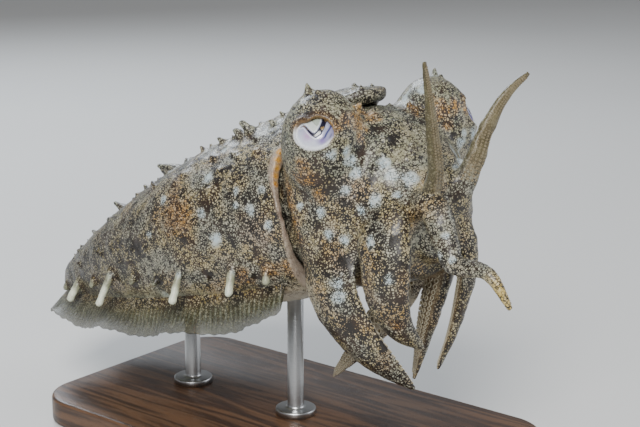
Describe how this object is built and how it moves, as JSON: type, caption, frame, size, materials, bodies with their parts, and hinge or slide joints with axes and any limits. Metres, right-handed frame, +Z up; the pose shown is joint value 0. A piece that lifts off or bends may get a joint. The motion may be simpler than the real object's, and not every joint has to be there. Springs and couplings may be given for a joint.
{
  "type": "common cuttlefish model",
  "caption": "Life-size still model of a common cuttlefish with raised and hanging arms, side fins and speckled skin, held by two short rods on a flat base.",
  "frame": {"origin": "middle of the stand base's underside, on the floor", "axes": "+Z up, the animal's length along Y with its head towards -Y, its right side towards -X"},
  "size_m": [0.058, 0.1381, 0.0905],
  "materials": {
    "mantle_skin": "damp skin, fine brown speckle on cream and grey, soft gloss",
    "head_skin": "damp skin, fine brown speckle on grey-green with ochre and bluish-white patches",
    "arm_skin": "damp skin, olive-brown, with pale suckers",
    "fin_membrane": "thin translucent membrane with pale rays",
    "funnel_skin": "smooth pale damp skin",
    "eye": "silvery lilac iris with a dark wavy pupil, clear and glossy",
    "horn": "dark brown horn, glossy",
    "stand_wood": "dark satin wood",
    "stand_metal": "brushed steel"
  },
  "bodies": {
    "root": {"mantle": "mantle_skin", "fin_right": "fin_membrane", "fin_left": "fin_membrane", "head": "head_skin", "eye_right": "eye", "eye_left": "eye", "funnel": "funnel_skin", "beak": "horn", "arm_1_right_root": "arm_skin", "arm_1_right_middle": "arm_skin", "arm_1_right_tip": "arm_skin", "arm_1_left_root": "arm_skin", "arm_1_left_middle": "arm_skin", "arm_1_left_tip": "arm_skin", "arm_2_right_root": "arm_skin", "arm_2_right_middle": "arm_skin", "arm_2_right_tip": "arm_skin", "arm_2_left_root": "arm_skin", "arm_2_left_middle": "arm_skin", "arm_2_left_tip": "arm_skin", "arm_3_right_root": "arm_skin", "arm_3_right_middle": "arm_skin", "arm_3_right_tip": "arm_skin", "arm_3_left_root": "arm_skin", "arm_3_left_middle": "arm_skin", "arm_3_left_tip": "arm_skin", "arm_4_right_root": "arm_skin", "arm_4_right_middle": "arm_skin", "arm_4_right_tip": "arm_skin", "arm_4_left_root": "arm_skin", "arm_4_left_middle": "arm_skin", "arm_4_left_tip": "arm_skin", "stand_base": "stand_wood", "stand_rod_front": "stand_metal", "stand_rod_back": "stand_metal"}
  },
  "joints": []
}
